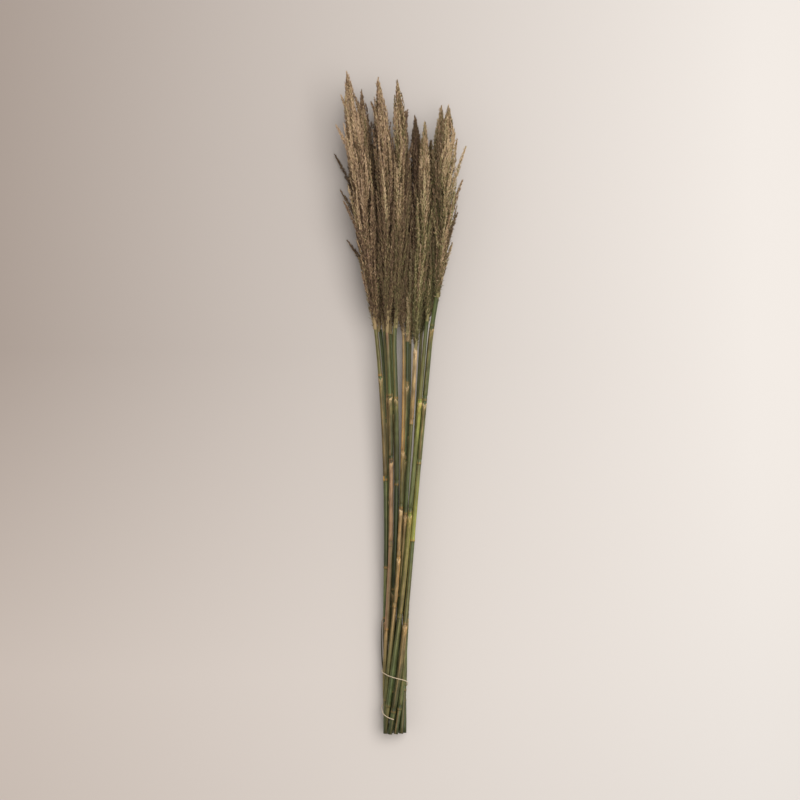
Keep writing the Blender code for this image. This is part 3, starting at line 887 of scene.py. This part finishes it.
def make_plume(name, material, settings):
    """One plume: its axis, its branches, and the husks that clothe them. A husk starts on its branch, turned
    by any angle round it, and leans out from it. Husks shorten near a branch's tip."""
    number = number_of(name)
    rng = np.random.default_rng(40 + number)
    paths, depth, axis_line, low, span = branch_paths(name, settings, rng)
    stray = np.arange(len(paths) + 1) >= settings.branches
    stray[-1] = False  # the axis, which comes last

    lengths = np.linalg.norm(np.diff(paths, axis=1), axis=-1).sum(1)
    counts = (lengths / MM * settings.spikelets * (1 + 1.6 * stray[:-1])).astype(int)
    axis_count = int(span / MM * settings.spikelets * 0.5)
    which = np.repeat(np.arange(len(paths) + 1), [*counts, axis_count])
    s = np.concatenate([rng.uniform(0, 1, counts.sum()) ** 0.85, rng.uniform(0, 1, axis_count) ** 0.6])
    upper = np.linspace(0.25, 1, STEPS) * (len(axis_line) - 1)
    axis_path = on(np.arange(len(axis_line)), axis_line, upper)
    place, along = at_share(np.concatenate([paths, axis_path[None]]), which, s)
    helper = unit(np.cross(along, [[0.0, 0.0, 1.0]]))
    rise = np.cross(helper, along)
    turn = rng.uniform(0, math.tau, len(s))
    out = around(turn, helper, rise)
    taper = 1 - 0.45 * s**3
    lean = settings.splay * rng.uniform(0.3, 1.7, len(s)) * (1 - 0.35 * s)
    lean = lean * np.where(rng.uniform(0, 1, len(s)) < 0.12, 2.4, 1.0)
    heading = np.cos(lean)[:, None] * along + np.sin(lean)[:, None] * out + rng.normal(0, 0.07, (len(s), 3))
    thick = (1.7 + 2.2 * stray[which]) * MM * np.sin(np.pi * np.clip(0.12 + 0.88 * s, 0, 1)) ** 0.6
    base = place + (thick * rng.uniform(0, 1, len(s)))[:, None] * out
    length = settings.length * taper * rng.uniform(0.6, 1.35, len(s))
    width = settings.width * rng.uniform(0.7, 1.3, len(s)) * (0.6 + 0.4 * taper)
    points, faces = husks(base, unit(heading), length, width, rng.uniform(0, math.tau, len(s)))
    points[..., 2] = np.maximum(points[..., 2], FLOOR_GAP)
    map_places = husk_places(number, place, which, stray, depth, axis_line, low, span, rng)
    surface = Surface()
    surface.add(points, [faces], [map_places[faces]])

    # the branches' stalks, and the axis, as thick at its foot as the stem it grows from
    neck = read_stem(f"culm_{number:02d}").ends[1] * 0.97
    stalk = 0.45 * MM * np.linspace(1.3, 0.4, STEPS)
    along_axis = np.linspace(0, 1, len(axis_line))
    axis_size = 0.6 * MM + (neck - 0.6 * MM) * np.clip(1 - along_axis * 2.2, 0.25 * (1 - along_axis), 1)
    spot = np.array((float(np.clip(LOOKS[number].hue - 0.3, 0.02, 0.9)), 0.5))
    for path, size, sides in [*((path, stalk, 3) for path in paths), (axis_line, axis_size, 8)]:
        turns = np.broadcast_to(turns_of(sides), (len(path), sides))
        tube = hoops(path, size[:, None] * np.ones(sides), turns)
        points, faces, places = capped(tube, path[:1], path[-1:])
        points[:, 2] = np.maximum(points[:, 2], FLOOR_GAP)
        surface.add(points, faces, [part * 0.02 + spot for part in places])
    return surface.finish(f"{name}_head", material, [name], smooth=False)


# ---- String ----


def twisted(line, ply, lay, sides=7):
    """Two plies wound round a line. Each ply's middle goes round the line once in each lay."""
    step = np.concatenate([[0], np.cumsum(np.linalg.norm(np.diff(line, axis=0), axis=1))])
    fine = np.arange(0, step[-1], lay / 12)
    path = np.stack([np.interp(fine, step, line[:, k]) for k in range(3)], axis=-1)
    _, side, rise = frames_of(path, up=(0.0, 1.0, 0.0))
    found = []
    for start in (0, math.pi):
        turn = start + fine / lay * math.tau
        middle = path + 0.9 * ply * around(turn, side, rise)
        size = np.full((len(fine), sides), ply)
        ring = np.broadcast_to(turns_of(sides), size.shape)
        found.append((middle, hoops(middle, size, ring, up=(0.0, 1.0, 0.0))))
    return found


def add_plies(surface, line, settings):
    """The two plies of a length of string, each on its own half of the map."""
    for half, (middle, tube) in enumerate(twisted(line, settings.ply, settings.lay)):
        points, faces, places = capped(tube, middle[:1], middle[-1:])
        surface.add(points, faces, [part * (0.48, 1.0) + (0.5 * half, 0.0) for part in places])


def make_string(material, settings):
    """The string: its line is read off its solid, which crosses each plane across the bundle once."""
    low, high = ends_of("tie_string")
    y = np.linspace(low + 1.2 * MM, high - 1.2 * MM, 160)
    line = smoothed(sections("tie_string", y)[0], 1.5)
    surface = Surface()
    add_plies(surface, line, settings)
    return surface.finish("string_round_butts", material, ["tie_string"])


def make_knot(material, settings):
    """The knot: a trefoil loop fitted to the box of its solid, with a short frayed tail."""
    low, high = (np.array(corner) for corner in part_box("tie_knot"))
    t = np.linspace(0, math.tau, 120)
    loop = np.stack([np.sin(t) + 2 * np.sin(2 * t), np.sin(3 * t), np.cos(t) - 2 * np.cos(2 * t)], axis=1)
    size = (high - low) / 2 - 0.8 * MM
    loop = (low + high) / 2 + loop / np.abs(loop).max(0) * np.maximum(size, 0.6 * MM)
    surface = Surface()
    add_plies(surface, loop, settings)
    return surface.finish("string_knot", material, ["tie_knot"])


# ---- Stage ----


AIM = np.array((0.0, 100.0, 30.0)) * MM  # where the lamps point
# name, place, size, and which setting gives the power
LAMPS = (("key_light", (0.95, 0.35, 3.0), 3.0, "key"), ("fill_light", (-2.4, -0.4, 2.4), 2.4, "fill"))
FOCUS = np.array((-0.2, 8.6, 50.0)) * MM  # the point under the camera, at the height of the stems
FLOOR_HALF = 30.0  # half the floor's width, far past the picture's edge


def make_floor(settings):
    """The floor. It is pale to the right of the bundle and painted darker to its left, most so beside the
    plumes: painted shade that stands in for the fall-off of the key lamp on the right.
    """
    mesh = bpy.data.meshes.new("floor")
    corners = [(x * FLOOR_HALF, y * FLOOR_HALF, 0) for x, y in ((-1, -1), (1, -1), (1, 1), (-1, 1))]
    mesh.from_pydata(corners, [], [(0, 1, 2, 3)])
    floor = linked("floor", mesh)
    made, tree, surface = shader("floor_pale", 0.9, Specular_IOR_Level=0.1)
    place = added(tree, "SeparateXYZ", {"Vector": added(tree, "TexCoord").outputs["Object"]})
    # painted shade: the floor's colour runs from near and shade on the left to the pale floor on the right
    across, along = (
        added(tree, "MapRange", {"Value": place.outputs[axis], "From Min": start, "From Max": end})
        .outputs["Result"] for axis, start, end in (("X", -0.85, 0.65), ("Y", -0.5, 0.1)))
    left = mixed(tree, along, tuple(settings.near), tuple(settings.shade))
    tree.links.new(mixed(tree, across, left, tuple(settings.floor)), surface.inputs["Base Color"])
    mesh.materials.append(made)


def make_lights(settings):
    """The even light from all round, and the lamps."""
    world = bpy.data.worlds.new("surroundings")
    bpy.context.scene.world = world
    world.use_nodes = True
    background = world.node_tree.nodes["Background"]
    background.inputs["Color"].default_value = (1.0, 0.955, 0.91, 1.0)
    background.inputs["Strength"].default_value = settings.sky
    for name, place, size, power in LAMPS:
        data = bpy.data.lights.new(name, "AREA")
        data.shape = "DISK"
        data.size = size
        data.energy = getattr(settings, power)
        data.color = (1.0, 0.985, 0.965)
        lamp = linked(name, data)
        lamp.location = place
        across, along, down = AIM - np.array(place)
        tilt = math.atan2(math.hypot(across, along), -down)
        lamp.rotation_euler = (tilt, 0.0, math.atan2(across, -along) + math.pi)


def make_camera(settings):
    """The camera, which looks straight down from where the bundle fills its share of the picture."""
    data = bpy.data.cameras.new("camera")
    data.lens = settings.lens
    data.clip_end = 100.0
    length = cad_box[1][1] - cad_box[0][1]
    distance = length / settings.filled * settings.lens / data.sensor_width
    camera = linked("camera", data)
    camera.location = FOCUS + (0.0, 0.0, distance)
    bpy.context.scene.camera = camera


# ---- Operators ----


class PLUMEREED_OT_stems(bpy.types.Operator):
    """Build the jointed stems, with their hollow cut ends"""

    bl_idname = "plumereed.stems"
    bl_label = "Build Stems"

    def execute(self, context):
        settings = context.scene.plume_reed.stem
        material = stem_material("stem_green", settings, 24.0, 0.42)
        for name in nodes_named("culm_"):
            make_stem(name, material, settings)
        return {"FINISHED"}


class PLUMEREED_OT_sheaths(bpy.types.Operator):
    """Build the leaf sheaths that are still on the stems"""

    bl_idname = "plumereed.sheaths"
    bl_label = "Build Sheaths"

    def execute(self, context):
        chosen = context.scene.plume_reed
        material = stem_material("sheath_straw", chosen.stem, 44.0, 0.55)
        for name in nodes_named("leaf_sheath_"):
            make_sheath(name, material, chosen.sheath, chosen.stem)
        return {"FINISHED"}


class PLUMEREED_OT_plumes(bpy.types.Operator):
    """Build the plumes, with their axes, branches and husks"""

    bl_idname = "plumereed.plumes"
    bl_label = "Build Plumes"

    def execute(self, context):
        settings = context.scene.plume_reed.plume
        material = plume_material("husk_dry", settings)
        for name in nodes_named("plume_"):
            make_plume(name, material, settings)
        return {"FINISHED"}


class PLUMEREED_OT_string(bpy.types.Operator):
    """Build the string round the butts and its knot"""

    bl_idname = "plumereed.string"
    bl_label = "Build String"

    def execute(self, context):
        settings = context.scene.plume_reed.string
        material = string_material("twine_natural", tuple(settings.colour))
        make_string(material, settings)
        make_knot(material, settings)
        return {"FINISHED"}


class PLUMEREED_OT_stage(bpy.types.Operator):
    """Build the floor, the lights and the camera"""

    bl_idname = "plumereed.stage"
    bl_label = "Build Stage"

    def execute(self, context):
        settings = context.scene.plume_reed.stage
        context.scene.view_settings.view_transform = "Standard"
        make_floor(settings)
        make_lights(settings)
        make_camera(settings)
        return {"FINISHED"}


class PLUMEREED_PT_panel(bpy.types.Panel):
    """Lists the bundle's pieces in the sidebar"""

    bl_label = "Plume Reed Bundle"
    bl_idname = "PLUMEREED_PT_panel"
    bl_space_type = "VIEW_3D"
    bl_region_type = "UI"
    bl_category = "Plume Reed"

    def draw(self, context):
        for operator, group in zip(OPERATORS, PlumeReedSettings.__annotations__, strict=True):
            part = getattr(context.scene.plume_reed, group)
            box = self.layout.box()
            box.operator(operator.bl_idname)
            for name in part.__annotations__:
                box.prop(part, name)


SETTINGS = (StemSettings, SheathSettings, PlumeSettings, StringSettings, StageSettings, PlumeReedSettings)
OPERATORS = (PLUMEREED_OT_stems, PLUMEREED_OT_sheaths, PLUMEREED_OT_plumes, PLUMEREED_OT_string,
             PLUMEREED_OT_stage)


def register():
    for kind in (*SETTINGS, *OPERATORS, PLUMEREED_PT_panel):
        bpy.utils.register_class(kind)
    bpy.types.Scene.plume_reed = bpy.props.PointerProperty(
        name="Plume Reed", description="Sizes and colours of the bundle", type=PlumeReedSettings)


def unregister():
    del bpy.types.Scene.plume_reed
    for kind in reversed((*SETTINGS, *OPERATORS, PLUMEREED_PT_panel)):
        bpy.utils.unregister_class(kind)


def main():
    register()
    bpy.ops.plumereed.stems()
    bpy.ops.plumereed.sheaths()
    bpy.ops.plumereed.plumes()
    bpy.ops.plumereed.string()
    bpy.ops.plumereed.stage()


if __name__ == "__main__":
    main()
